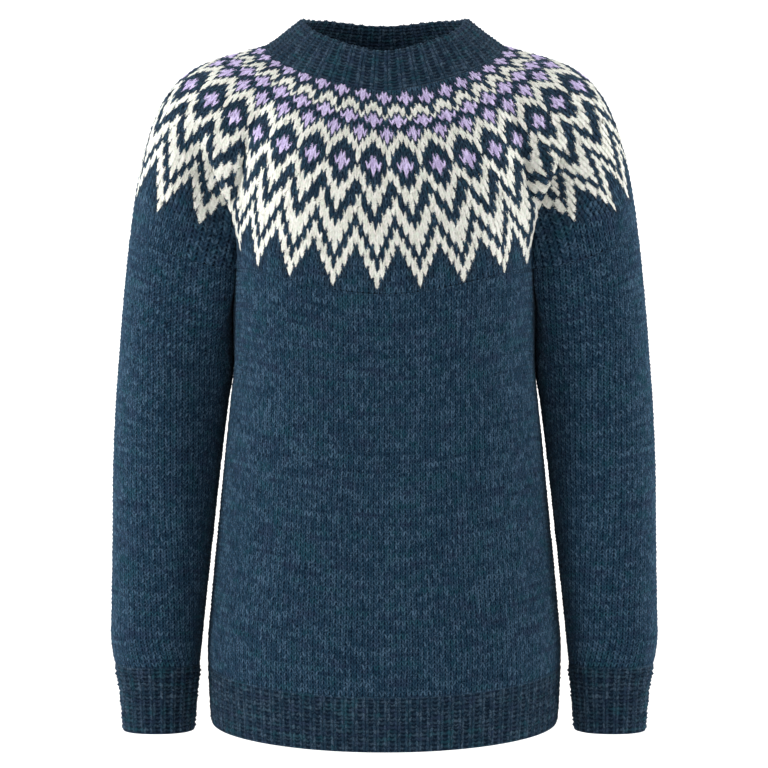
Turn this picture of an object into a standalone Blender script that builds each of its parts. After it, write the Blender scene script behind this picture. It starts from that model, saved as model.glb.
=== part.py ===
# High neck sweater with a round yoke, filled out as if worn, with nobody in it.
# Metres, +Z up, the front faces -Y. The origin is the middle of the neck edge,
# at the height where the yoke rests on the shoulders.

import math

import bpy
import numpy as np

OBJECT_NAME = "high_neck_sweater"

# Cloth
WALL = 0.003  # plain knitting
BAND_WALL = 0.0046  # the neckband is folded double
SEAM = 0.0003  # gap between pieces
UNDERARM_GAP = 0.0006  # between body and sleeve where they lie side by side
RIB_RISE = 0.0013  # how far a rib stands out of its wall
RIB_SINK = 0.0003  # how far the groove between two ribs lies under the wall

# Stitches round each edge, which place the pieces' corners along the rings
YOKE_STITCHES = 256
BODY_STITCHES = 188
SLEEVE_STITCHES = 78
PANEL_STITCHES = 72  # of the yoke, over the front, and again over the back
NECK_RIBS = 48
HEM_RIBS = 96
CUFF_RIBS = 24
POINTS_PER_RIB = 3

# Columns and rows of faces
PANEL_COLUMNS = 18
ARM_COLUMNS = 16
UNDERARM_COLUMNS = 6
YOKE_ROWS = 13
BODY_ROWS = 11
SLEEVE_ROWS = 12
HEM_ROWS = 1
CUFF_ROWS = 2

# Edges of the neckband: half width, depths and heights at side, front and back
NECK_FOOT = dict(wide=0.113, front=0.098, back=0.088, z_side=0.0125, z_front=-0.042, z_back=0.002)
NECK_TOP = dict(wide=0.078, front=0.083, back=0.077, z_side=0.0385, z_front=-0.004, z_back=0.041)
NECK_SQUARE = 2.05
NECK_DIP = 0.72  # how fast the neck edge drops towards the front
NECK_SWELL = 0.0035  # how far the neck edge rises between the sides and the back

# Neckband section: share of the height, then how deep its two faces lie, in walls
BAND_TABLE = np.array([
    (0.00, 0.00, 1.00),
    (0.34, 0.10, 1.00),
    (0.68, 0.06, 1.00),
    (0.92, 0.00, 0.98),
    (1.02, 0.28, 0.72),
])

# Edge where yoke, body and sleeves meet
SEAM_FRONT = -0.229
SEAM_BACK = -0.224
SEAM_CORNER = -0.203  # at the creases in front of and behind the arm
SEAM_UNDERARM = -0.222
SEAM_ARM = -0.166  # over the outside of the arm

# Tangents of the yoke at its two edges, as shares of its length, and how steeply it leaves the neck
YOKE_REACH = dict(neck_front=0.36, neck_side=0.35, foot_front=0.36, foot_side=0.775)
YOKE_SLOPE = dict(front=58.0, side=16.8, back=46.0)
# Tilt of the edge between neckband and yoke, in degrees above level
NECK_EDGE_TILT = dict(front=27.0, side=62.0, back=32.0)

# Hem and cuff edges
# Heights at the sides, then how much lower the edge hangs in the middle of front and back
HEM_TOP = dict(side=-0.573, front=0.021, back=0.011)
HEM_FOOT = dict(side=-0.6265, front=0.0168, back=0.0105)
HEM_CURVE = 1.2  # below 2 the hem drops soon after the side seam
CUFF_TOP = -0.573
CUFF_FOOT = -0.6345
CUFF_DROOP = 0.001
FRONT_OF_CUFF = 0.75  # share of the girth at which the cuff faces forward

# Body: height, half width, front depth, back depth, squareness
BODY_TABLE = np.array([
    (-0.190, 0.1426, 0.1260, 0.1180, 2.8),
    (-0.222, 0.1430, 0.1270, 0.1180, 2.8),
    (-0.260, 0.1422, 0.1265, 0.1150, 2.8),
    (-0.292, 0.1418, 0.1245, 0.1120, 2.75),
    (-0.325, 0.1450, 0.1220, 0.1095, 2.7),
    (-0.363, 0.1490, 0.1200, 0.1080, 2.65),
    (-0.401, 0.1528, 0.1190, 0.1080, 2.6),
    (-0.440, 0.1566, 0.1190, 0.1095, 2.55),
    (-0.478, 0.1604, 0.1200, 0.1120, 2.5),
    (-0.516, 0.1638, 0.1215, 0.1145, 2.5),
    (-0.554, 0.1668, 0.1230, 0.1160, 2.5),
    (-0.600, 0.1654, 0.1225, 0.1155, 2.5),
    (-0.650, 0.1620, 0.1205, 0.1135, 2.5),
])

# Sleeve: height, inner side, outer side, middle in depth, half depth
SLEEVE_TABLE = np.array([
    (-0.150, 0.1436, 0.2388, 0.0000, 0.0665),
    (-0.180, 0.1436, 0.2425, 0.0000, 0.0665),
    (-0.222, 0.1436, 0.2465, -0.0010, 0.0660),
    (-0.260, 0.1429, 0.2495, -0.0030, 0.0640),
    (-0.292, 0.1432, 0.2517, -0.0050, 0.0620),
    (-0.325, 0.1480, 0.2538, -0.0070, 0.0600),
    (-0.382, 0.1548, 0.2560, -0.0110, 0.0560),
    (-0.4585, 0.1628, 0.2562, -0.0160, 0.0515),
    (-0.516, 0.1688, 0.2567, -0.0190, 0.0480),
    (-0.554, 0.1725, 0.2567, -0.0205, 0.0450),
    (-0.574, 0.1745, 0.2532, -0.0210, 0.0425),
    (-0.594, 0.1765, 0.2490, -0.0215, 0.0390),
    (-0.615, 0.1785, 0.2468, -0.0215, 0.0370),
    (-0.660, 0.1805, 0.2442, -0.0215, 0.0350),
])
SLEEVE_SQUARE = 2.25
ARM_SQUARE = 4.0  # the sleeve's shape beside the crease in front of and behind the arm
ARM_MIDDLE = 0.187
ARM_FADE = 0.10  # length over which the sleeve loses the shape of the underarm

# Folds, as soft troughs that run down the cloth. Each row is a point of the trough:
# distance from the middle, height, depth
ARMPIT_FOLD = np.array([
    (0.176, -0.070, 0.000),
    (0.168, -0.095, 0.004),
    (0.157, -0.122, 0.008),
    (0.145, -0.158, 0.010),
    (0.139, -0.190, 0.006),
    (0.1386, -0.203, 0.000),
])
ARMPIT_FOLD_WIDTH = 0.009
ELBOW_FOLD = np.array([
    (0.190, -0.245, 0.000),
    (0.183, -0.275, 0.0035),
    (0.176, -0.310, 0.0050),
    (0.168, -0.345, 0.0050),
    (0.166, -0.385, 0.0035),
    (0.166, -0.430, 0.000),
])
ELBOW_FOLD_WIDTH = 0.008
FOLD_EDGE = 0.03  # depth from the middle at which a fold has its full size

# Fineness of the plan curves that the columns are spaced along
OVAL_POINTS = 721
CREASE_POINTS = 60
ARM_POINTS = 240
YOKE_LEAD = 0.010  # length of sleeve and body that gives the yoke's foot its direction
SHARP_ANGLE = 50.0

# Materials: base colour, roughness
YARN_BLUE = ((0.028, 0.070, 0.110), 0.95)
YARN_RIB = ((0.024, 0.062, 0.098), 0.95)
YARN_CREAM = ((0.62, 0.60, 0.54), 0.95)


def read_table(table, heights):
    """Reads a table at the given heights, on a smooth curve through its rows."""
    rows = table[::-1]
    keys = rows[:, 0]
    slopes = np.gradient(rows, keys, axis=0)
    heights = np.clip(heights, keys[0], keys[-1])
    low = np.clip(np.searchsorted(keys, heights, side="right") - 1, 0, len(keys) - 2)
    span = (keys[low + 1] - keys[low])[..., None]
    t = ((heights - keys[low])[..., None]) / span
    value = (2 * t**3 - 3 * t**2 + 1) * rows[low] + (3 * t**2 - 2 * t**3) * rows[low + 1]
    value = value + span * ((t**3 - 2 * t**2 + t) * slopes[low] + (t**3 - t**2) * slopes[low + 1])
    return value[..., 1:]


def power_of(value, power):
    return np.sign(value) * np.abs(value) ** power


def walk(x, y, shares):
    """Points at the given shares of a plan curve's length."""
    along = np.concatenate([[0.0], np.cumsum(np.hypot(np.diff(x), np.diff(y)))])
    return np.interp(shares * along[-1], along, x), np.interp(shares * along[-1], along, y)


def oval(wide, front, back, square, shares):
    """A closed oval from the middle of the front round by +X."""
    turn = np.linspace(0.0, 2.0 * math.pi, OVAL_POINTS)
    depth = np.where(np.cos(turn) > 0.0, front, back)
    x = wide * power_of(np.sin(turn), 2.0 / square)
    y = -depth * power_of(np.cos(turn), 2.0 / square)
    return walk(x, y, shares)


def plan_normals(ring):
    """Level unit vectors that point out of a closed ring."""
    step = np.roll(ring, -1, axis=0) - np.roll(ring, 1, axis=0)
    out = np.stack([step[:, 1], -step[:, 0], np.zeros(len(ring))], axis=1)
    return out / np.linalg.norm(out, axis=1, keepdims=True)


def surface_normals(grid):
    """Unit normals of a grid whose rows run down and whose columns close round."""
    down = np.gradient(grid, axis=0)
    round_it = np.roll(grid, -1, axis=1) - np.roll(grid, 1, axis=1)
    out = np.cross(down, round_it)
    return out / np.linalg.norm(out, axis=2, keepdims=True)


def by_side(turn, front, side, back):
    """A value that goes from front through side to back round the neck."""
    level = np.cos(turn)
    end = np.where(level > 0.0, front, back)
    return side + (end - side) * level**2


def folded(points, fold, width):
    """Presses a trough into the front and, half as deep, into the back of a surface."""
    rows = fold[np.argsort(fold[:, 1])]
    z = points[..., 2]
    middle = np.interp(z, rows[:, 1], rows[:, 0])
    depth = np.interp(z, rows[:, 1], rows[:, 2], left=0.0, right=0.0)
    aside = (np.abs(points[..., 0]) - middle) / width
    press = depth * np.exp(-0.5 * aside**2)
    y = points[..., 1]
    side = np.clip(-y / FOLD_EDGE, -1.0, 1.0)
    result = points.copy()
    result[..., 1] = y + press * np.where(side > 0.0, side, 0.5 * side)
    return result


# Body and sleeve surfaces

def body_ring(stitches, heights):
    """Points of the body's outer face, at stitches from the middle of the front and at heights."""
    sizes = read_table(BODY_TABLE, heights)
    points = np.empty((len(stitches), 3))
    for i, (wide, front, back, square) in enumerate(sizes):
        x, y = oval(wide, front, back, square, stitches[i:i + 1] / BODY_STITCHES)
        points[i] = (x[0], y[0], heights[i])
    return points


def sagging(place, middle, reach, corner_height, middle_height):
    """Height of an edge between its corners, which lie reach stitches either side of its middle."""
    share = np.cos(0.5 * math.pi * (place - middle) / reach) ** 2
    return corner_height + (middle_height - corner_height) * share


def edge_heights(stitches):
    """Height of the body's top edge, at stitches counted from the middle of the front."""
    round_body = BODY_STITCHES / 2
    panel = PANEL_STITCHES / 2
    place = np.abs((stitches + round_body) % BODY_STITCHES - round_body)
    front = sagging(place, 0.0, panel, SEAM_CORNER, SEAM_FRONT)
    back = sagging(place, round_body, panel, SEAM_CORNER, SEAM_BACK)
    side = sagging(place, round_body / 2, round_body / 2 - panel, SEAM_CORNER, SEAM_UNDERARM)
    return np.where(place <= panel, front, np.where(place >= round_body - panel, back, side))


def body_stitches():
    """Columns of the body, from the middle of the front once round by +X."""
    panel = PANEL_STITCHES / 2
    half = BODY_STITCHES / 2
    front = np.linspace(0.0, panel, PANEL_COLUMNS // 2 + 1)
    side = np.linspace(panel, half - panel, UNDERARM_COLUMNS + 1)[1:]
    back = np.linspace(half - panel, half, PANEL_COLUMNS // 2 + 1)[1:]
    one_side = np.concatenate([front, side, back])
    return np.concatenate([one_side, BODY_STITCHES - one_side[-2:0:-1]])


def hem_heights(stitches, way_down=0.0):
    """A hem edge hangs lower in front and behind: the rib's top edge at 0, its foot at 1."""
    level = np.cos(2.0 * math.pi * stitches / BODY_STITCHES)
    edges = []
    for edge in (HEM_TOP, HEM_FOOT):
        droop = np.where(level > 0.0, edge["front"], edge["back"])
        edges.append(edge["side"] - droop * np.abs(level) ** HEM_CURVE)
    return edges[0] + (edges[1] - edges[0]) * way_down


def body_grid():
    """Outer face of the body from the yoke's foot to the hem rib."""
    stitches = body_stitches()
    top = edge_heights(stitches)
    foot = hem_heights(stitches)
    return np.array([
        body_ring(stitches, top + (foot - top) * t) for t in np.linspace(0.0, 1.0, BODY_ROWS + 1)
    ])


def body_corner(front):
    """Where the crease before or behind the +X arm meets the yoke's foot."""
    stitch = PANEL_STITCHES / 2 if front else BODY_STITCHES / 2 - PANEL_STITCHES / 2
    return body_ring(np.array([stitch]), np.array([SEAM_CORNER]))[0]


def arm_curve(shares):
    """Plan of the yoke's foot over the +X arm, from the front crease round to the back crease."""
    outer, middle, depth = read_table(SLEEVE_TABLE, np.array([SEAM_ARM]))[0][1:]
    power = ARM_SQUARE
    sides = []
    for corner, way in ((body_corner(True), -1.0), (body_corner(False), 1.0)):
        reach = abs(corner[1] - middle) / depth
        start = (1.0 - reach**power) ** (1.0 / power)
        inner = (ARM_MIDDLE - corner[0] - UNDERARM_GAP) / start
        along = np.linspace(start, 0.0, CREASE_POINTS)
        y_side = middle + way * depth * (1.0 - along**power) ** (1.0 / power)
        sides.append((ARM_MIDDLE - inner * along, y_side))
    turn = np.linspace(-0.5 * math.pi, 0.5 * math.pi, ARM_POINTS)[1:-1]
    x_outer = ARM_MIDDLE + (outer - ARM_MIDDLE) * power_of(np.cos(turn), 2.0 / SLEEVE_SQUARE)
    y_outer = middle + depth * power_of(np.sin(turn), 2.0 / SLEEVE_SQUARE)
    x = np.concatenate([sides[0][0], x_outer, sides[1][0][::-1]])
    y = np.concatenate([sides[0][1], y_outer, sides[1][1][::-1]])
    return walk(x, y, shares)


def arm_edge(shares):
    """Points of the yoke's foot over the +X arm."""
    x, y = arm_curve(shares)
    z = SEAM_CORNER + (SEAM_ARM - SEAM_CORNER) * np.sin(math.pi * shares) ** 2
    return np.stack([x, y, z], axis=1)


def sleeve_top():
    """Top edge of the +X sleeve: over the arm, then back to the front crease beside the body."""
    arm = arm_edge(np.linspace(0.0, 1.0, ARM_COLUMNS + 1))
    panel = PANEL_STITCHES / 2
    stitches = np.linspace(BODY_STITCHES / 2 - panel, panel, UNDERARM_COLUMNS + 1)[1:-1]
    inner = body_ring(stitches, edge_heights(stitches))
    inner[:, 0] += UNDERARM_GAP
    return np.concatenate([arm, inner])


def sleeve_turns():
    """Each column's share of the sleeve's girth, 0 on the outside and rising by the back."""
    arm = (YOKE_STITCHES / 2 - PANEL_STITCHES) / SLEEVE_STITCHES
    over = np.linspace(-arm / 2, arm / 2, ARM_COLUMNS + 1)
    under = np.linspace(arm / 2, 1.0 - arm / 2, UNDERARM_COLUMNS + 1)[1:-1]
    return np.concatenate([over, under])


def sleeve_oval(sizes, turns):
    """Points of plain sleeve sections, one section for each point."""
    x = np.empty(len(turns))
    y = np.empty(len(turns))
    for i, (inner, outer, middle, depth) in enumerate(sizes):
        half = (outer - inner) / 2
        side, ahead = oval(depth, half, half, SLEEVE_SQUARE, turns[i:i + 1] % 1.0)
        x[i] = (inner + outer) / 2 - ahead[0]
        y[i] = middle + side[0]
    return x, y


def sleeve_ring(top, turns, heights):
    """Ring of the +X sleeve: near the top it keeps the top edge's shape, lower down it is an oval."""
    before = read_table(SLEEVE_TABLE, top[:, 2]).T
    sizes = read_table(SLEEVE_TABLE, heights)
    inner, outer, middle, depth = sizes.T
    across = (top[:, 0] - before[0]) / (before[1] - before[0])
    x = top[:, 0] + (1.0 - across) * (inner - before[0]) + across * (outer - before[1])
    y = middle + (top[:, 1] - before[2]) * depth / before[3]
    x_oval, y_oval = sleeve_oval(sizes, turns)
    fade = np.clip((top[:, 2] - heights) / ARM_FADE, 0.0, 1.0)
    fade = fade * fade * (3.0 - 2.0 * fade)
    return np.stack([x + (x_oval - x) * fade, y + (y_oval - y) * fade, heights], axis=1)


def cuff_heights(turns, level):
    """A cuff edge hangs a little lower in front."""
    return level - CUFF_DROOP * 0.5 * (1.0 + np.cos(2.0 * math.pi * (turns - FRONT_OF_CUFF)))


def sleeve_grid():
    """Outer face of the +X sleeve from the yoke's foot to the cuff."""
    top = sleeve_top()
    turns = sleeve_turns()
    foot = cuff_heights(turns, CUFF_TOP)
    rings = [
        sleeve_ring(top, turns, top[:, 2] + (foot - top[:, 2]) * t)
        for t in np.linspace(0.0, 1.0, SLEEVE_ROWS + 1)
    ]
    return folded(np.array(rings), ELBOW_FOLD, ELBOW_FOLD_WIDTH)


# Neck edge, neckband and yoke

def neck_edge(sizes, shares):
    """An edge of the neckband at shares of its girth, and each point's turn round the neck."""
    x, y = oval(sizes["wide"], sizes["front"], sizes["back"], NECK_SQUARE, shares)
    turn = np.arctan2(x / sizes["wide"], -y / np.where(y < 0.0, sizes["front"], sizes["back"]))
    ahead = np.clip(1.0 - np.cos(turn), 0.0, 1.0) ** NECK_DIP
    front = sizes["z_front"] + (sizes["z_side"] - sizes["z_front"]) * ahead
    back = sizes["z_side"] + (sizes["z_back"] - sizes["z_side"]) * np.cos(turn) ** 2
    back = back + NECK_SWELL * np.sin(2.0 * turn) ** 2
    z = np.where(np.cos(turn) > 0.0, front, back)
    return np.stack([x, y, z], axis=1), turn


def tilted(level_normals, degrees):
    """Level unit vectors raised by an angle."""
    angle = np.radians(degrees)[:, None]
    return level_normals * np.cos(angle) + np.array([0.0, 0.0, 1.0]) * np.sin(angle)


def neck_edge_normals(foot, turn):
    return tilted(plan_normals(foot), by_side(turn, **NECK_EDGE_TILT))


def yoke_foot():
    """The yoke's lower edge: front, +X arm, back, -X arm. Also each point's downward direction."""
    body = body_stitches()
    front_half = PANEL_COLUMNS // 2
    side = front_half + UNDERARM_COLUMNS
    half = side + front_half
    edge = body_ring(body, edge_heights(body))
    below = body_ring(body, edge_heights(body) - YOKE_LEAD)
    arm = sleeve_top()
    arm_below = sleeve_ring(arm, sleeve_turns(), arm[:, 2] - YOKE_LEAD)
    over = slice(1, ARM_COLUMNS)
    corner_front = (edge[front_half] + arm[0]) / 2
    corner_back = (edge[side] + arm[ARM_COLUMNS]) / 2
    points = [edge[:front_half], [corner_front], arm[over], [corner_back], edge[side + 1:half + 1]]
    down = below - edge
    arm_down = arm_below - arm
    ways = [
        down[:front_half],
        [(down[front_half] + arm_down[0]) / 2],
        arm_down[over],
        [(down[side] + arm_down[ARM_COLUMNS]) / 2],
        down[side + 1:half + 1],
    ]
    points = np.concatenate(points)
    ways = np.concatenate(ways)
    mirror = np.array([-1.0, 1.0, 1.0])
    points = np.concatenate([points, points[-2:0:-1] * mirror])
    ways = np.concatenate([ways, ways[-2:0:-1] * mirror])
    return points, ways / np.linalg.norm(ways, axis=1, keepdims=True)


def yoke_stitches():
    """Stitches of the yoke's columns, from the middle of the front once round by +X."""
    panel = PANEL_STITCHES / 2
    half = YOKE_STITCHES / 2
    front = np.linspace(0.0, panel, PANEL_COLUMNS // 2 + 1)
    arm = np.linspace(panel, half - panel, ARM_COLUMNS + 1)[1:]
    back = np.linspace(half - panel, half, PANEL_COLUMNS // 2 + 1)[1:]
    one_side = np.concatenate([front, arm, back])
    return np.concatenate([one_side, YOKE_STITCHES - one_side[-2:0:-1]])


def yoke_grid():
    """Outer face of the yoke: each column is one curve from the neck edge to the foot."""
    head, turn = neck_edge(NECK_FOOT, yoke_stitches() / YOKE_STITCHES)
    foot, ways = yoke_foot()
    length = np.linalg.norm(foot - head, axis=1, keepdims=True)
    reach = YOKE_REACH
    near_neck = by_side(turn, reach["neck_front"], reach["neck_side"], reach["neck_front"])[:, None]
    near_foot = by_side(turn, reach["foot_front"], reach["foot_side"], reach["foot_front"])[:, None]
    leave = tilted(plan_normals(head), -by_side(turn, **YOKE_SLOPE))
    second = head + leave * length * near_neck
    third = foot - ways * length * near_foot
    rows = []
    for t in np.linspace(0.0, 1.0, YOKE_ROWS + 1):
        s = 1.0 - t
        rows.append(s**3 * head + 3 * s * s * t * second + 3 * s * t * t * third + t**3 * foot)
    grid = folded(np.array(rows), ARMPIT_FOLD, ARMPIT_FOLD_WIDTH)
    return grid, neck_edge_normals(head, turn)


def yoke_normals(grid, head_normals):
    normals = surface_normals(grid)
    normals[0] = head_normals
    normals[-1] = plan_normals(grid[-1])
    return normals


def ribs(count, points_per_rib):
    """How far each point of a ribbed ring stands out, one groove and two crest points a rib."""
    one = np.full(points_per_rib, RIB_RISE)
    one[0] = -RIB_SINK
    return np.tile(one, count)


def neckband_walls():
    """Outer and inner rings of the neckband, from the neck edge up to its folded rim."""
    shares = np.arange(NECK_RIBS * POINTS_PER_RIB) / (NECK_RIBS * POINTS_PER_RIB)
    foot, turn = neck_edge(NECK_FOOT, shares)
    rim, _ = neck_edge(NECK_TOP, shares)
    base = np.array([foot + (rim - foot) * row[0] for row in BAND_TABLE])
    normals = -surface_normals(base)
    normals[0] = neck_edge_normals(foot, turn)
    relief = ribs(NECK_RIBS, POINTS_PER_RIB)[:, None]
    outer = []
    inner = []
    for ring, out, (_, outside, inside) in zip(base, normals, BAND_TABLE):
        outer.append(ring + out * (relief - outside * BAND_WALL))
        inner.append(ring - out * inside * BAND_WALL)
    return np.array(outer)[::-1], np.array(inner)[::-1]


# Walls

def pulled_in(outer, inner, top=False, foot=False, sides=False):
    """Takes half a seam off the stated edges of a wall."""
    result = []
    for grid in (outer.copy(), inner.copy()):
        edges = []
        if top:
            edges.append((grid[0], grid[1]))
        if foot:
            edges.append((grid[-1], grid[-2]))
        if sides:
            edges.append((grid[:, 0], grid[:, 1]))
            edges.append((grid[:, -1], grid[:, -2]))
        for edge, beside in edges:
            step = beside - edge
            edge += step / np.linalg.norm(step, axis=1, keepdims=True) * SEAM / 2
        result.append(grid)
    return result


def wall_faces(rows, columns, closed):
    """Faces of a wall whose outer points come first, then its inner points."""
    count = rows * columns
    last = columns if closed else columns - 1
    faces = []
    for i in range(rows - 1):
        for j in range(last):
            k = (j + 1) % columns
            a, b, c, d = i * columns + j, (i + 1) * columns + j, (i + 1) * columns + k, i * columns + k
            faces.append((a, b, c, d))
            faces.append((count + d, count + c, count + b, count + a))
    for j in range(last):
        k = (j + 1) % columns
        low = (rows - 1) * columns
        faces.append((j, k, count + k, count + j))
        faces.append((low + k, low + j, count + low + j, count + low + k))
    if not closed:
        for i in range(rows - 1):
            a, b = i * columns, (i + 1) * columns
            faces.append((a, count + a, count + b, b))
            c, d = a + columns - 1, b + columns - 1
            faces.append((d, count + d, count + c, c))
    return faces


def yarn(name, look):
    colour, roughness = look
    material = bpy.data.materials.new(name)
    material.use_nodes = True
    shader = material.node_tree.nodes["Principled BSDF"]
    shader.inputs["Base Color"].default_value = (*colour, 1.0)
    shader.inputs["Roughness"].default_value = roughness
    shader.inputs["Metallic"].default_value = 0.0
    return material


def add_wall(collection, name, outer, inner, look, closed=True, mirrored=False):
    """Adds one closed wall between an outer and an inner grid of points."""
    rows, columns = outer.shape[:2]
    points = np.concatenate([outer.reshape(-1, 3), inner.reshape(-1, 3)])
    faces = wall_faces(rows, columns, closed)
    if mirrored:
        points = points * np.array([-1.0, 1.0, 1.0])
        faces = [face[::-1] for face in faces]
    mesh = bpy.data.meshes.new(name)
    mesh.from_pydata(points.tolist(), [], faces)
    mesh.shade_smooth()
    mesh.set_sharp_from_angle(angle=math.radians(SHARP_ANGLE))
    mesh.materials.append(yarn(name, look))
    piece = bpy.data.objects.new(name, mesh)
    collection.objects.link(piece)
    return piece


def add_yoke(collection):
    outer, head_normals = yoke_grid()
    inner = outer - yoke_normals(outer, head_normals) * WALL
    outer, inner = pulled_in(outer, inner, top=True, foot=True)
    add_wall(collection, "yoke", outer, inner, YARN_CREAM)


def add_neckband(collection):
    outer, inner = pulled_in(*neckband_walls(), foot=True)
    add_wall(collection, "neckband", outer, inner, YARN_RIB)


def add_panels(collection):
    """Front and back, joined at the sides under the arms."""
    outer = body_grid()
    inner = np.array([ring - plan_normals(ring) * WALL for ring in outer])
    half = outer.shape[1] // 2
    quarter = half // 2
    for name, shift in (("front", -quarter), ("back", quarter)):
        columns = np.arange(shift, shift + half + 1) % outer.shape[1]
        panel = pulled_in(outer[:, columns], inner[:, columns], top=True, foot=True, sides=True)
        add_wall(collection, name, *panel, YARN_BLUE, closed=False)


def add_hems(collection):
    """Rib of the front and of the back."""
    count = HEM_RIBS * POINTS_PER_RIB
    stitches = np.arange(count) * BODY_STITCHES / count
    relief = ribs(HEM_RIBS, POINTS_PER_RIB)[:, None]
    outer = []
    inner = []
    for t in np.linspace(0.0, 1.0, HEM_ROWS + 1):
        ring = body_ring(stitches, hem_heights(stitches, t))
        out = plan_normals(ring)
        outer.append(ring + out * relief)
        inner.append(ring - out * WALL)
    outer = np.array(outer)
    inner = np.array(inner)
    half = count // 2
    for name, shift in (("hem_front", -count // 4), ("hem_back", count // 4)):
        columns = np.arange(shift, shift + half + 1) % count
        rib = pulled_in(outer[:, columns], inner[:, columns], top=True, sides=True)
        add_wall(collection, name, *rib, YARN_RIB, closed=False)


def add_sleeves(collection):
    outer = sleeve_grid()
    inner = np.array([ring - plan_normals(ring) * WALL for ring in outer])
    outer, inner = pulled_in(outer, inner, top=True, foot=True)
    add_wall(collection, "sleeve_left", outer, inner, YARN_BLUE)
    add_wall(collection, "sleeve_right", outer, inner, YARN_BLUE, mirrored=True)


def add_cuffs(collection):
    count = CUFF_RIBS * POINTS_PER_RIB
    turns = np.arange(count) / count
    relief = ribs(CUFF_RIBS, POINTS_PER_RIB)[:, None]
    outer = []
    inner = []
    for t in np.linspace(0.0, 1.0, CUFF_ROWS + 1):
        heights = cuff_heights(turns, CUFF_TOP + (CUFF_FOOT - CUFF_TOP) * t)
        x, y = sleeve_oval(read_table(SLEEVE_TABLE, heights), turns)
        ring = np.stack([x, y, heights], axis=1)
        out = plan_normals(ring)
        outer.append(ring + out * relief)
        inner.append(ring - out * WALL)
    outer, inner = pulled_in(np.array(outer), np.array(inner), top=True)
    add_wall(collection, "cuff_left", outer, inner, YARN_RIB)
    add_wall(collection, "cuff_right", outer, inner, YARN_RIB, mirrored=True)


def build():
    for thing in list(bpy.data.objects):
        bpy.data.objects.remove(thing, do_unlink=True)
    collection = bpy.data.collections.new(OBJECT_NAME)
    bpy.context.scene.collection.children.link(collection)
    add_neckband(collection)
    add_yoke(collection)
    add_panels(collection)
    add_hems(collection)
    add_sleeves(collection)
    add_cuffs(collection)


build()
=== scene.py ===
# High neck sweater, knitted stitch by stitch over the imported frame. Metres, +Z up, the front faces -Y.
import math

import bpy
import numpy as np
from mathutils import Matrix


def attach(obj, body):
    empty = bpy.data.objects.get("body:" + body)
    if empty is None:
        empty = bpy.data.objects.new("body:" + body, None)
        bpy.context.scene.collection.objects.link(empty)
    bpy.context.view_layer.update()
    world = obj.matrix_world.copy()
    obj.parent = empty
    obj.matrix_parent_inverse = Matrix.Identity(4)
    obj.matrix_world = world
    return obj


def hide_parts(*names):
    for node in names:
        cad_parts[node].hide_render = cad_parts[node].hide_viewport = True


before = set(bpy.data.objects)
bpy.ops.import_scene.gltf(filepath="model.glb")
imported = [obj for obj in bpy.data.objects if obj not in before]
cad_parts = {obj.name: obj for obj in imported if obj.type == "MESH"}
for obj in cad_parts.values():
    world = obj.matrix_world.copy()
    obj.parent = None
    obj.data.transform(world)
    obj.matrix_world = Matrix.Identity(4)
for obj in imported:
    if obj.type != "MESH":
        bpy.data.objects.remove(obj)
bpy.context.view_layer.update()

print("frame loaded,", len(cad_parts), "nodes")

# Camera, floor and light
studio = dict(
    photoSide=768,
    sensor=36.0,
    metresPerPixel=0.000952,  # at the middle of the garment
    cameraBack=2.4,
    cameraAside=-0.0003,
    cameraHeight=-0.310,
    cameraReach=50.0,
    floorHeight=-0.73,
    floorHalf=6.0,
    sweepStart=1.6,
    sweepRadius=1.8,
    sweepPoints=25,
    paperColour=(0.93, 0.93, 0.93, 1.0),
    paperRoughness=0.9,
    roomColour=(1.0, 1.0, 1.0, 1.0),
    roomLight=0.28,
    # name, place, what it faces, width, height, watts
    lamps=(
        ("leftLight", (-1.9, -1.2, 0.3), (0.0, 0.0, -0.3), 0.9, 1.8, 43.0),
        ("rightLight", (2.15, -0.7, 0.3), (0.0, 0.0, -0.3), 0.9, 1.8, 30.0),
        ("frontLight", (-0.2, -2.8, 1.6), (0.0, 0.0, -0.2), 1.6, 1.0, 15.0),
        ("paperLeft", (-2.6, 0.6, 1.6), (-0.8, 3.6, -0.3), 1.5, 1.5, 90.0),
        ("paperRight", (2.6, 0.6, 1.6), (0.8, 3.6, -0.3), 1.5, 1.5, 90.0),
    ),
)

scene = bpy.context.scene
scene.view_settings.view_transform = "Standard"


def lookAt(thing, target):
    way = np.array(target) - np.array(thing.location)
    flat = math.hypot(way[0], way[1])
    thing.rotation_euler = (math.atan2(flat, -way[2]), 0.0, math.atan2(-way[0], way[1]))


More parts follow.
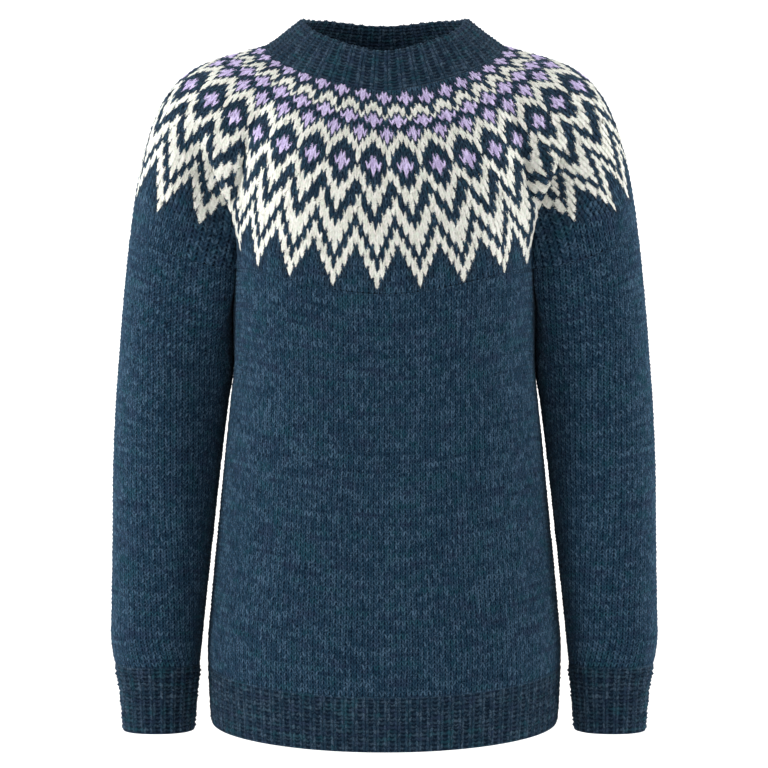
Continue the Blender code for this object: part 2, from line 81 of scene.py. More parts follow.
def setUpStudio(size):
    cameraData = bpy.data.cameras.new("photoCamera")
    cameraData.sensor_width = size["sensor"]
    pixelsPerMetre = 1.0 / size["metresPerPixel"]
    cameraData.lens = size["sensor"] * size["cameraBack"] * pixelsPerMetre / size["photoSide"]
    cameraData.clip_end = size["cameraReach"]
    camera = bpy.data.objects.new("photoCamera", cameraData)
    camera.location = (size["cameraAside"], -size["cameraBack"], size["cameraHeight"])
    camera.rotation_euler = (math.pi / 2, 0.0, 0.0)
    scene.collection.objects.link(camera)
    scene.camera = camera

    world = bpy.data.worlds.new("studioWorld")
    world.use_nodes = True
    scene.world = world
    backdrop = world.node_tree.nodes["Background"]
    backdrop.inputs["Color"].default_value = size["roomColour"]
    backdrop.inputs["Strength"].default_value = size["roomLight"]

    for name, place, target, width, height, watts in size["lamps"]:
        lampData = bpy.data.lights.new(name, "AREA")
        lampData.shape = "RECTANGLE"
        lampData.size = width
        lampData.size_y = height
        lampData.energy = watts
        lamp = bpy.data.objects.new(name, lampData)
        lamp.location = place
        lookAt(lamp, target)
        scene.collection.objects.link(lamp)

    # A roll of paper: flat under the garment, then curving up behind it
    turn = np.linspace(0.0, math.pi / 2, size["sweepPoints"])
    radius = size["sweepRadius"]
    start = size["sweepStart"]
    depths = np.concatenate([[-size["floorHalf"]], start + radius * np.sin(turn), [start + radius]])
    heights = np.concatenate([[0.0], radius - radius * np.cos(turn), [size["floorHalf"]]])
    count = len(depths)
    points = [(side * size["floorHalf"], y, z) for side in (-1.0, 1.0) for y, z in zip(depths, heights)]
    faces = [(k, count + k, count + k + 1, k + 1) for k in range(count - 1)]
    floorMesh = bpy.data.meshes.new("studioFloor")
    floorMesh.from_pydata(points, [], faces)
    floorMesh.shade_smooth()
    floor = bpy.data.objects.new("studioFloor", floorMesh)
    floor.location = (0.0, 0.0, size["floorHeight"])
    scene.collection.objects.link(floor)
    paper = bpy.data.materials.new("floorPaper")
    paper.use_nodes = True
    surface = paper.node_tree.nodes["Principled BSDF"]
    surface.inputs["Base Color"].default_value = size["paperColour"]
    surface.inputs["Roughness"].default_value = size["paperRoughness"]
    floorMesh.materials.append(paper)
    print("studio ready")


setUpStudio(studio)

# Sizes that the pieces share
underarmGap = 0.0006
wall = 0.003
perStitch = 4  # points across a stitch

# Faces across and down the smooth surfaces that the stitches are laid on
fineness = dict(
    yoke=(1024, 120),
    body=(376, 120),
    hem=(384, 24),
    sleeve=(312, 160),
    cuff=(192, 32),
    band=(576, 80),
    bodyLoft=(1504, 200),
    sleeveLoft=(720, 200),
    # along plan curves
    oval=720,
    armSide=60,
    armOver=240,
)

# Half width, depths and heights of the neckband's two edges
neckEdge = dict(
    foot=dict(wide=0.113, front=0.098, back=0.088, zSide=0.0125, zFront=-0.042, zBack=0.002),
    rim=dict(wide=0.078, front=0.083, back=0.077, zSide=0.0385, zFront=-0.004, zBack=0.041),
    square=2.05,
    dip=0.72,  # how fast the edge drops towards the front
    swell=0.0035,  # how far it rises between the sides and the back
    tilt=(27.0, 62.0, 32.0),  # of the edge above level, in front, at the side and behind
)

# Where yoke, body and sleeves meet: stitches round each, and heights of the edge
seam = dict(
    yoke=256,
    panel=72,
    body=188,
    sleeve=78,
    front=-0.229,
    back=-0.224,
    corner=-0.203,
    underarm=-0.222,
    arm=-0.166,
)


# Curves and grids

def evenly(count):  # shares from 0 to 1, one to a row
    return np.linspace(0.0, 1.0, count + 1)[:, None]


def readTable(table, heights):  # on a smooth curve through the rows
    rows = table[::-1]
    keys = rows[:, 0]
    slopes = np.gradient(rows, keys, axis=0)
    heights = np.clip(heights, keys[0], keys[-1])
    low = np.clip(np.searchsorted(keys, heights, side="right") - 1, 0, len(keys) - 2)
    span = (keys[low + 1] - keys[low])[..., None]
    t = (heights - keys[low])[..., None] / span
    value = (2 * t**3 - 3 * t**2 + 1) * rows[low] + (3 * t**2 - 2 * t**3) * rows[low + 1]
    value = value + span * ((t**3 - 2 * t**2 + t) * slopes[low] + (t**3 - t**2) * slopes[low + 1])
    return value[..., 1:]


def powerOf(value, exponent):
    return np.sign(value) * np.abs(value) ** exponent


def walk(x, y, shares):  # points at shares of a plan curve's length
    along = np.concatenate([[0.0], np.cumsum(np.hypot(np.diff(x), np.diff(y)))])
    return np.interp(shares * along[-1], along, x), np.interp(shares * along[-1], along, y)


def oval(wide, front, back, square, shares):  # from the middle of the front round by +X
    turn = np.linspace(0.0, 2.0 * math.pi, fineness["oval"] + 1)
    depth = np.where(np.cos(turn) > 0.0, front, back)
    x = wide * powerOf(np.sin(turn), 2.0 / square)
    y = -depth * powerOf(np.cos(turn), 2.0 / square)
    return walk(x, y, shares)


def readGrid(grid, across, down):  # between the points of a grid, in columns and rows
    j = np.clip(np.floor(across).astype(int), 0, grid.shape[1] - 2)
    i = np.clip(np.floor(down).astype(int), 0, grid.shape[0] - 2)
    s = (across - j)[..., None]
    t = (down - i)[..., None]
    top = grid[i, j] * (1 - s) + grid[i, j + 1] * s
    foot = grid[i + 1, j] * (1 - s) + grid[i + 1, j + 1] * s
    return top * (1 - t) + foot * t


class Loft:  # plan sections at even heights, read anywhere between
    def __init__(self, sections, plan, faces):
        self.columns, steps = faces
        self.top = sections[0, 0]
        self.step = (self.top - sections[-1, 0]) / steps
        shares = np.linspace(0.0, 1.0, self.columns + 1)
        plans = [plan(self.top - self.step * k, shares) for k in range(steps + 1)]
        self.grid = np.array([np.stack(points, axis=-1) for points in plans])

    def at(self, shares, heights):
        found = readGrid(self.grid, (shares % 1.0) * self.columns, (self.top - heights) / self.step)
        return found[..., 0], found[..., 1]


def bySide(turn, front, side, back):  # from front through side to back round the neck
    level = np.cos(turn)
    return side + (np.where(level > 0.0, front, back) - side) * level**2


def planNormals(ring):
    step = np.roll(ring, -1, axis=0) - np.roll(ring, 1, axis=0)
    out = np.stack([step[:, 1], -step[:, 0], np.zeros(len(ring))], axis=1)
    return out / np.linalg.norm(out, axis=1, keepdims=True)


def tilted(level, degrees):
    angle = np.radians(degrees)[:, None]
    return level * np.cos(angle) + np.array([0.0, 0.0, 1.0]) * np.sin(angle)


def smooth(t):
    t = np.clip(t, 0.0, 1.0)
    return t * t * (3.0 - 2.0 * t)


# Body

bodySize = dict(
    rows=91,
    wander=0.12,  # slow wander of the columns, in stitches
    hemTop=dict(side=-0.573, front=0.021, back=0.011),
    hemFoot=dict(side=-0.6265, front=0.0168, back=0.0105),
    hemCurve=1.2,
    # height, half width, front depth, back depth, squareness
    sections=np.array([
        (-0.190, 0.1426, 0.1260, 0.1180, 2.8),
        (-0.222, 0.1430, 0.1270, 0.1180, 2.8),
        (-0.260, 0.1422, 0.1265, 0.1150, 2.8),
        (-0.292, 0.1418, 0.1245, 0.1120, 2.75),
        (-0.325, 0.1450, 0.1220, 0.1095, 2.7),
        (-0.363, 0.1490, 0.1200, 0.1080, 2.65),
        (-0.401, 0.1528, 0.1190, 0.1080, 2.6),
        (-0.440, 0.1566, 0.1190, 0.1095, 2.55),
        (-0.478, 0.1604, 0.1200, 0.1120, 2.5),
        (-0.516, 0.1638, 0.1215, 0.1145, 2.5),
        (-0.554, 0.1668, 0.1230, 0.1160, 2.5),
        (-0.600, 0.1654, 0.1225, 0.1155, 2.5),
        (-0.650, 0.1620, 0.1205, 0.1135, 2.5),
    ]),
)


def bodySection(height, shares):
    wide, front, back, square = readTable(bodySize["sections"], np.array(height))
    return oval(wide, front, back, square, shares)


bodyLoft = Loft(bodySize["sections"], bodySection, fineness["bodyLoft"])


def bodyPoints(stitches, heights):
    x, y = bodyLoft.at(stitches / seam["body"], heights)
    return np.stack([x, y, heights + 0.0 * x], axis=-1)


def sagging(place, middle, reach, cornerHeight, middleHeight):
    share = np.cos(0.5 * math.pi * (place - middle) / reach) ** 2
    return cornerHeight + (middleHeight - cornerHeight) * share


def edgeHeights(stitches):  # of the body's top edge
    half = seam["body"] / 2
    panel = seam["panel"] / 2
    place = np.abs((stitches + half) % seam["body"] - half)
    front = sagging(place, 0.0, panel, seam["corner"], seam["front"])
    back = sagging(place, half, panel, seam["corner"], seam["back"])
    side = sagging(place, half / 2, half / 2 - panel, seam["corner"], seam["underarm"])
    return np.where(place <= panel, front, np.where(place >= half - panel, back, side))


def hemHeights(stitches, wayDown):
    level = np.cos(2.0 * math.pi * stitches / seam["body"])
    edges = []
    for edge in (bodySize["hemTop"], bodySize["hemFoot"]):
        droop = np.where(level > 0.0, edge["front"], edge["back"])
        edges.append(edge["side"] - droop * np.abs(level) ** bodySize["hemCurve"])
    return edges[0] + (edges[1] - edges[0]) * wayDown


# Sleeve, the +X one, mirrored for the other

sleeveSize = dict(
    rows=104,
    square=2.25,
    armSquare=4.0,
    armMiddle=0.187,
    fade=0.10,
    cuffTop=-0.573,
    cuffFoot=-0.6345,
    cuffDroop=0.001,
    cuffFront=0.75,
    # height, inner side, outer side, middle in depth, half depth
    sections=np.array([
        (-0.150, 0.1436, 0.2388, 0.0000, 0.0665),
        (-0.180, 0.1436, 0.2425, 0.0000, 0.0665),
        (-0.222, 0.1436, 0.2465, -0.0010, 0.0660),
        (-0.260, 0.1429, 0.2495, -0.0030, 0.0640),
        (-0.292, 0.1432, 0.2517, -0.0050, 0.0620),
        (-0.325, 0.1480, 0.2538, -0.0070, 0.0600),
        (-0.382, 0.1548, 0.2560, -0.0110, 0.0560),
        (-0.4585, 0.1628, 0.2562, -0.0160, 0.0515),
        (-0.516, 0.1688, 0.2567, -0.0190, 0.0480),
        (-0.554, 0.1725, 0.2567, -0.0205, 0.0450),
        (-0.574, 0.1745, 0.2532, -0.0210, 0.0425),
        (-0.594, 0.1765, 0.2490, -0.0215, 0.0390),
        (-0.615, 0.1785, 0.2468, -0.0215, 0.0370),
        (-0.660, 0.1805, 0.2442, -0.0215, 0.0350),
    ]),
)


def sleeveSection(height, shares):
    inner, outer, middle, depth = readTable(sleeveSize["sections"], np.array(height))
    half = (outer - inner) / 2
    side, ahead = oval(depth, half, half, sleeveSize["square"], shares)
    return (inner + outer) / 2 - ahead, middle + side


sleeveLoft = Loft(sleeveSize["sections"], sleeveSection, fineness["sleeveLoft"])


def armEdge(shares):  # the yoke's foot over the arm, from the front crease to the back crease
    panel = seam["panel"] / 2
    outer, middle, depth = readTable(sleeveSize["sections"], np.array(seam["arm"]))[1:]
    power = sleeveSize["armSquare"]
    centre = sleeveSize["armMiddle"]
    sides = []
    for stitch, way in ((panel, -1.0), (seam["body"] / 2 - panel, 1.0)):
        corner = bodyPoints(np.array([stitch]), np.array([seam["corner"]]))[0]
        start = (1.0 - (abs(corner[1] - middle) / depth) ** power) ** (1.0 / power)
        inner = (centre - corner[0] - underarmGap) / start
        along = np.linspace(start, 0.0, fineness["armSide"])
        sides.append((centre - inner * along, middle + way * depth * (1.0 - along**power) ** (1.0 / power)))
    turn = np.linspace(-0.5 * math.pi, 0.5 * math.pi, fineness["armOver"])[1:-1]
    xOuter = centre + (outer - centre) * powerOf(np.cos(turn), 2.0 / sleeveSize["square"])
    yOuter = middle + depth * powerOf(np.sin(turn), 2.0 / sleeveSize["square"])
    x = np.concatenate([sides[0][0], xOuter, sides[1][0][::-1]])
    y = np.concatenate([sides[0][1], yOuter, sides[1][1][::-1]])
    x, y = walk(x, y, shares)
    z = seam["corner"] + (seam["arm"] - seam["corner"]) * np.sin(math.pi * shares) ** 2
    return np.stack([x, y, z], axis=-1)


def sleeveTop(turns):  # turns from -0.5 to 0.5, 0 on the outside and rising by the back
    panel = seam["panel"] / 2
    arm = (seam["yoke"] / 2 - seam["panel"]) / seam["sleeve"]
    over = armEdge(np.clip(turns / arm + 0.5, 0.0, 1.0))
    under = ((turns % 1.0) - arm / 2) / (1.0 - arm)
    stitches = seam["body"] / 2 - panel + (2 * panel - seam["body"] / 2) * np.clip(under, 0.0, 1.0)
    inner = bodyPoints(stitches, edgeHeights(stitches))
    inner[:, 0] += underarmGap
    return np.where((np.abs(turns) <= arm / 2)[:, None], over, inner)


def sleevePoints(top, turns, heights):
    before = readTable(sleeveSize["sections"], top[..., 2])
    inner, outer, middle, depth = np.moveaxis(readTable(sleeveSize["sections"], heights), -1, 0)
    across = (top[..., 0] - before[..., 0]) / (before[..., 1] - before[..., 0])
    x = top[..., 0] + (1.0 - across) * (inner - before[..., 0]) + across * (outer - before[..., 1])
    y = middle + (top[..., 1] - before[..., 2]) * depth / before[..., 3]
    xOval, yOval = sleeveLoft.at(turns, heights)
    fade = smooth((top[..., 2] - heights) / sleeveSize["fade"])
    return np.stack([x + (xOval - x) * fade, y + (yOval - y) * fade, heights], axis=-1)


def cuffHeights(turns, level):
    ahead = np.cos(2.0 * math.pi * (turns - sleeveSize["cuffFront"]))
    return level - sleeveSize["cuffDroop"] * 0.5 * (1.0 + ahead)


# Neck and yoke

def neckRing(size, shares):
    x, y = oval(size["wide"], size["front"], size["back"], neckEdge["square"], shares % 1.0)
    turn = np.arctan2(x / size["wide"], -y / np.where(y < 0.0, size["front"], size["back"]))
    ahead = np.clip(1.0 - np.cos(turn), 0.0, 1.0) ** neckEdge["dip"]
    front = size["zFront"] + (size["zSide"] - size["zFront"]) * ahead
    back = size["zSide"] + (size["zBack"] - size["zSide"]) * np.cos(turn) ** 2
    z = np.where(np.cos(turn) > 0.0, front, back + neckEdge["swell"] * np.sin(2.0 * turn) ** 2)
    return np.stack([x, y, z], axis=-1), turn


yokeSize = dict(
    # tangents at its two edges, as shares of its length
    reach=dict(neckFront=0.36, neckSide=0.35, footFront=0.36, footSide=0.775),
    slope=(58.0, 16.8, 46.0),  # degrees below level at the neck, in front, at the side and behind
    lead=0.010,  # length of body and sleeve that gives the foot its direction
    repeats=32,
    # between these columns the spacing is evened, across the creases
    creases=((76, 228), (284, 436), (588, 740), (796, 948)),
)


def yokeFoot(stitches):  # points and downward directions, on the half with +X
    panel = seam["panel"] / 2
    half = seam["yoke"] / 2
    bodyStitch = np.where(stitches <= panel, stitches, stitches - half + seam["body"] / 2)
    onBody = (stitches <= panel) | (stitches >= half - panel)
    bodyStitch = np.where(onBody, bodyStitch, panel)
    heights = edgeHeights(bodyStitch)
    edge = bodyPoints(bodyStitch, heights)
    down = bodyPoints(bodyStitch, heights - yokeSize["lead"]) - edge
    shares = np.clip((stitches - panel) / (half - 2 * panel), 0.0, 1.0)
    arm = armEdge(shares)
    turns = (shares - 0.5) * (half - 2 * panel) / seam["sleeve"]
    armDown = sleevePoints(arm, turns, arm[:, 2] - yokeSize["lead"]) - arm
    weight = np.where(stitches <= half / 2, stitches - panel, half - panel - stitches)
    weight = np.clip(weight + 0.5, 0.0, 1.0)[:, None]  # half and half at the crease
    way = down + (armDown - down) * weight
    return edge + (arm - edge) * weight, way / np.linalg.norm(way, axis=1, keepdims=True)


# Folds, as soft troughs, steeper on the body side: distance from the middle, height, depth
foldSize = dict(
    armpit=dict(widths=(0.004, 0.016), tuck=0.55, points=np.array([
        (0.176, -0.070, 0.000),
        (0.166, -0.095, 0.006),
        (0.1545, -0.118, 0.012),
        (0.143, -0.144, 0.015),
        (0.138, -0.168, 0.010),
        (0.137, -0.187, 0.004),
        (0.1375, -0.203, 0.000),
    ])),
    elbow=dict(widths=(0.010, 0.028), tuck=0.0, points=np.array([
        (0.168, -0.235, 0.000),
        (0.165, -0.280, 0.006),
        (0.162, -0.330, 0.009),
        (0.165, -0.380, 0.006),
        (0.169, -0.430, 0.000),
    ])),
    edge=0.03,  # depth from the middle at which a fold has its full size
    behind=0.5,  # share of its size that it has at the back
    tuckWidth=0.006,
)


def folded(points, fold):  # with the sleeve side tucked under the body side
    rows = fold["points"][np.argsort(fold["points"][:, 1])]
    z = points[..., 2]
    middle = np.interp(z, rows[:, 1], rows[:, 0])
    depth = np.interp(z, rows[:, 1], rows[:, 2], left=0.0, right=0.0)
    away = np.abs(points[..., 0]) - middle
    press = depth * np.exp(-0.5 * (away / np.where(away < 0.0, *fold["widths"])) ** 2)
    side = np.clip(-points[..., 1] / foldSize["edge"], -1.0, 1.0)
    width = foldSize["tuckWidth"]
    tuck = fold["tuck"] * depth * away * np.exp(0.5 - 0.5 * (away / width) ** 2) / width
    behind = foldSize["behind"]
    result = points.copy()
    result[..., 0] -= np.sign(points[..., 0]) * tuck * np.where(side > 0.0, side, -behind * side)
    result[..., 1] += press * np.where(side > 0.0, side, behind * side)
    return result


def evenOut(grid, first, last):  # the spacing across between two columns
    part = grid[:, first:last + 1]
    along = np.cumsum(np.linalg.norm(np.diff(part, axis=1), axis=2), axis=1)
    for row, place in zip(part, np.concatenate([np.zeros((len(grid), 1)), along], axis=1)):
        even = np.linspace(0.0, place[-1], len(place))
        row[:] = np.stack([np.interp(even, place, row[:, k]) for k in range(3)], axis=1)


class Cloth:  # a smooth surface, read by share across and share down
    def __init__(self, grid, closed, topNormals=None):
        length = np.linalg.norm(np.diff(grid, axis=0), axis=2)
        along = np.concatenate([np.zeros((1, grid.shape[1])), np.cumsum(length, axis=0)])
        even = np.linspace(0.0, 1.0, len(grid))
        for j in range(grid.shape[1]):
            share = along[:, j] / along[-1, j]
            grid[:, j] = np.stack([np.interp(even, share, grid[:, j, k]) for k in range(3)], axis=1)
        down = np.gradient(grid, axis=0)
        if closed:
            ring = grid[:, :-1]
            aside = np.roll(ring, -1, axis=1) - np.roll(ring, 1, axis=1)
            aside = np.concatenate([aside, aside[:, :1]], axis=1)
        else:
            aside = np.gradient(grid, axis=1)
        normals = np.cross(down, aside)
        normals /= np.linalg.norm(normals, axis=2, keepdims=True)
        if topNormals is not None:
            normals[0] = topNormals
        self.closed = closed
        self.grid = grid
        self.normals = normals
        self.girth = np.linalg.norm(np.diff(grid, axis=1), axis=2).sum(axis=1)
        self.lengths = length.sum(axis=0)

    def at(self, across, down):
        j = across * (self.grid.shape[1] - 1)
        i = down * (self.grid.shape[0] - 1)
        return readGrid(self.grid, j, i), readGrid(self.normals, j, i)

    def area(self):
        return float(self.girth.mean() * self.lengths.mean())


def yokeCloth():
    columns, rows = fineness["yoke"]
    stitches = np.arange(columns // 2 + 1) * seam["yoke"] / columns
    shares = np.arange(columns) / columns
    head, turn = neckRing(neckEdge["foot"], shares)
    foot, ways = yokeFoot(stitches)
    mirror = np.array([-1.0, 1.0, 1.0])
    foot = np.concatenate([foot, foot[-2:0:-1] * mirror])
    ways = np.concatenate([ways, ways[-2:0:-1] * mirror])
    length = np.linalg.norm(foot - head, axis=1, keepdims=True)
    reach = yokeSize["reach"]
    nearNeck = bySide(turn, reach["neckFront"], reach["neckSide"], reach["neckFront"])[:, None]
    nearFoot = bySide(turn, reach["footFront"], reach["footSide"], reach["footFront"])[:, None]
    second = head + tilted(planNormals(head), -bySide(turn, *yokeSize["slope"])) * length * nearNeck
    third = foot - ways * length * nearFoot
    t = evenly(rows)[..., None]
    s = 1.0 - t
    grid = s**3 * head + 3 * s * s * t * second + 3 * s * t * t * third + t**3 * foot
    grid = folded(grid, foldSize["armpit"])
    for first, last in yokeSize["creases"]:
        evenOut(grid, first, last)
    top = tilted(planNormals(head), bySide(turn, *neckEdge["tilt"]))
    top = np.concatenate([top, top[:1]])
    return Cloth(np.concatenate([grid, grid[:, :1]], axis=1), True, top)


def panelStitches(way, columns):  # the front lies round 0 stitches, the back round half of them
    middle = 0.0 if way == "front" else seam["body"] / 2
    return np.linspace(-0.25, 0.25, columns + 1) * seam["body"] + middle


def bodyCloth(way):
    columns, rows = fineness["body"]
    stitches = panelStitches(way, columns)
    top = edgeHeights(stitches)
    foot = hemHeights(stitches, 0.0)
    t = evenly(rows)
    return Cloth(bodyPoints(stitches + 0.0 * t, top + (foot - top) * t), False)


def hemCloth(way):
    columns, rows = fineness["hem"]
    stitches = panelStitches(way, columns)
    t = evenly(rows)
    return Cloth(bodyPoints(stitches + 0.0 * t, hemHeights(stitches, t)), False)


def sleeveCloth():
    columns, rows = fineness["sleeve"]
    turns = np.linspace(-0.5, 0.5, columns + 1)
    top = sleeveTop(turns)
    foot = cuffHeights(turns, sleeveSize["cuffTop"])
    t = evenly(rows)
    heights = top[:, 2] + (foot - top[:, 2]) * t
    grid = sleevePoints(top + 0.0 * t[..., None], turns + 0.0 * t, heights)
    return Cloth(folded(grid, foldSize["elbow"]), True)


def cuffCloth():
    columns, rows = fineness["cuff"]
    turns = np.linspace(-0.5, 0.5, columns + 1)
    t = evenly(rows)
    level = sleeveSize["cuffTop"] + (sleeveSize["cuffFoot"] - sleeveSize["cuffTop"]) * t
    heights = cuffHeights(turns, level)
    x, y = sleeveLoft.at(turns + 0.0 * t, heights)
    return Cloth(np.stack([x, y, heights], axis=-1), True)


bandSize = dict(
    wall=0.0046,
    upright=0.34,  # share of the height over which it turns upright
    # from the inner foot over the rim to the outer foot: share of the height, then depth in walls
    section=np.array([
        (0.00, 1.00),
        (0.34, 1.00),
        (0.68, 1.00),
        (0.90, 0.98),
        (1.00, 0.84),
        (1.035, 0.50),
        (1.00, 0.16),
        (0.90, 0.00),
        (0.68, 0.06),
        (0.34, 0.10),
        (0.00, 0.00),
    ]),
)


def bandCloth():
    around, across = fineness["band"]
    shares = np.linspace(0.0, 1.0, around + 1)
    foot, turn = neckRing(neckEdge["foot"], shares)
    rim, _ = neckRing(neckEdge["rim"], shares)
    rise = rim - foot
    level = planNormals(foot[:-1])
    level = np.concatenate([level, level[:1]])
    aside = np.roll(foot[:-1], -1, axis=0) - np.roll(foot[:-1], 1, axis=0)
    aside = np.concatenate([aside, aside[:1]])
    upright = np.cross(aside, rise)
    upright /= np.linalg.norm(upright, axis=1, keepdims=True)
    footNormals = tilted(level, bySide(turn, *neckEdge["tilt"]))
    rows = []
    for height, depth in bandSize["section"]:
        out = upright + (footNormals - upright) * smooth(1.0 - height / bandSize["upright"])
        rows.append(foot + rise * height - out * depth * bandSize["wall"])
    rows = np.array(rows)
    spans = np.linspace(0.0, len(rows) - 1.0, across + 1)
    columns = np.arange(rows.shape[1])
    return Cloth(readGrid(rows, columns + 0.0 * spans[:, None], spans[:, None] + 0.0 * columns), True)


# Knitting

# Each stitch is given at the points across it
plainStitch = dict(
    turn=(0.0, 0.5, 0.0, 0.5),  # height of the yarn where a row meets the next
    middle=(0.45, 1.0, 0.3, 1.0),  # and in the middle of a row
    lean=(-0.5, 0.0, 0.5, 0.0),  # how far the point lies down its row
    slant=1.0,  # times the lean
    rise=0.0013,
    sink=0.0007,
    jitter=(0.05, 0.07),  # across, in stitches, and down, in rows
    fine=2,  # lines of points to a row
)
# One raised knit stitch, then one purl stitch that lies low and shows a bar in each row
ribStitch = dict(
    turn=(0.10, 0.45, 0.15, 0.45, 0.10, 0.0, 0.0, 0.0),
    middle=(0.45, 1.0, 0.60, 1.0, 0.45, 0.30, 0.38, 0.30),
    lean=(-0.3, 0.0, 0.35, 0.0, -0.3, 0.0, 0.1, 0.0),
    slant=0.75,
    rise=0.0017,
    sink=0.0007,
    jitter=(0.06, 0.10),
    fine=4,
)
cuffStitch = dict(ribStitch, rise=0.0026)

unevenness = dict(
    relief=0.15,  # spread of the height from stitch to stitch, and its limits
    least=0.6,
    most=1.4,
    wander=0.2,  # slow wander of the rows, in rows
    atEdge=0.45,  # height that the yarn fades to at the edges of a piece
    fade=1.5,  # how fast, to a row
)

# Where the faces lie up and down the bake layout: top and height, or the two edges of a strip
bakeLayout = dict(
    band=(0.99, 0.98),
    bandEnd=(0.008, 0.0),
    outside=(1.0, 0.74),
    inside=(0.22, 0.22),
    ends=(0.225, 0.235),
    sides=(0.9985, 0.9995),
)


def waver(across, down, seed):  # slow unevenness, about 1 high
    terms = np.random.default_rng(seed).uniform(0.6, 1.0, (4, 4))
    total = 0.0
    for k, (a, b, c, d) in enumerate(terms):
        aside = np.sin(2.0 * math.pi * (2.0 * a * across * (k + 1) + d))
        total = total + aside * np.sin(2.0 * math.pi * (b * down * (k + 2) + c))
    return total / 2.0


def mergedNumbers(places, closed, ended, first):  # points that share a place are one point
    same = np.zeros(places.shape, bool)
    same[:, 1:] = np.abs(np.diff(places, axis=1)) < 1e-9
    numbers = np.cumsum(~same.ravel()).reshape(places.shape) - 1 + first
    if closed:
        numbers = np.where(numbers == numbers[:, -1:], numbers[:, :1], numbers)
    for k in range(1, len(numbers)):
        numbers[k] = np.where(ended[k] & ended[k - 1], numbers[k - 1], numbers[k])
    return numbers, ~same


class Patches:  # faces over grids of point numbers, with their two layouts and yarn colours
    def __init__(self):
        self.loops, self.sizes, self.knitUv, self.bakeUv, self.tints = [], [], [], [], []

    def add(self, numbers, knitU, knitV, bakeU, bakeV, tints, turned=False):
        def corners(grid):
            quad = np.stack([grid[:-1, :-1], grid[1:, :-1], grid[1:, 1:], grid[:-1, 1:]], axis=2)
            quad = quad[:, :, ::-1] if turned else quad
            return quad.reshape((-1, 4) + grid.shape[2:])

        grids = np.broadcast_arrays(numbers, knitU, knitV, bakeU, bakeV)
        quads, u, v, s, t = [corners(grid) for grid in grids]
        kept = quads != np.roll(quads, 1, axis=1)
        solid = kept.sum(axis=1) >= 3
        kept = kept & solid[:, None]
        tints = corners(np.broadcast_to(tints, numbers.shape + (4,)))
        self.loops.append(quads[kept])
        self.sizes.append(kept.sum(axis=1)[solid])
        self.knitUv.append(np.stack([u[kept], v[kept]], axis=1))
        self.bakeUv.append(np.stack([s[kept], t[kept]], axis=1))
        self.tints.append(tints[kept])

    def mesh(self, name, points, mirrored):
        loops = np.concatenate(self.loops)
        sizes = np.concatenate(self.sizes)
        layers = [np.concatenate(part) for part in (self.knitUv, self.bakeUv, self.tints)]
        starts = np.concatenate([[0], np.cumsum(sizes)[:-1]])
        if mirrored:  # a face's corners the other way round
            points = points * np.array([-1.0, 1.0, 1.0])
            face = np.repeat(np.arange(len(sizes)), sizes)
            other = 2 * starts[face] + sizes[face] - 1 - np.arange(len(loops))
            loops = loops[other]
            layers = [layer[other] for layer in layers]
        used, loops = np.unique(loops, return_inverse=True)
        points = points[used]
        mesh = bpy.data.meshes.new(name)
        mesh.vertices.add(len(points))
        mesh.vertices.foreach_set("co", points.astype(np.float32).ravel())
        mesh.loops.add(len(loops))
        mesh.loops.foreach_set("vertex_index", loops.astype(np.int32).ravel())
        mesh.polygons.add(len(sizes))
        mesh.polygons.foreach_set("loop_start", starts.astype(np.int32))
        for layerName, values in (("Stitches", layers[0]), ("OFBake", layers[1])):
            layer = mesh.uv_layers.new(name=layerName)
            layer.uv.foreach_set("vector", values.astype(np.float32).ravel())
        yarn = mesh.color_attributes.new(name="yarn", type="FLOAT_COLOR", domain="CORNER")
        yarn.data.foreach_set("color", layers[2].astype(np.float32).ravel())
        mesh.update(calc_edges=True)
        mesh.validate()
        mesh.shade_smooth()
        return mesh


def pointTints(tints, fine):  # from a colour for each stitch to colours that blend at its edges
    tints = np.repeat(np.repeat(tints, fine, axis=0), perStitch, axis=1)
    tints = np.concatenate([tints[:1], tints, tints[-1:]])
    tints = np.concatenate([tints[:, -1:], tints, tints[:, :1]], axis=1)
    return (tints[:-1, :-1] + tints[1:, :-1] + tints[:-1, 1:] + tints[1:, 1:]) / 4.0


def laidDown(part, share):
    top, height = bakeLayout[part]
    return top - height * share


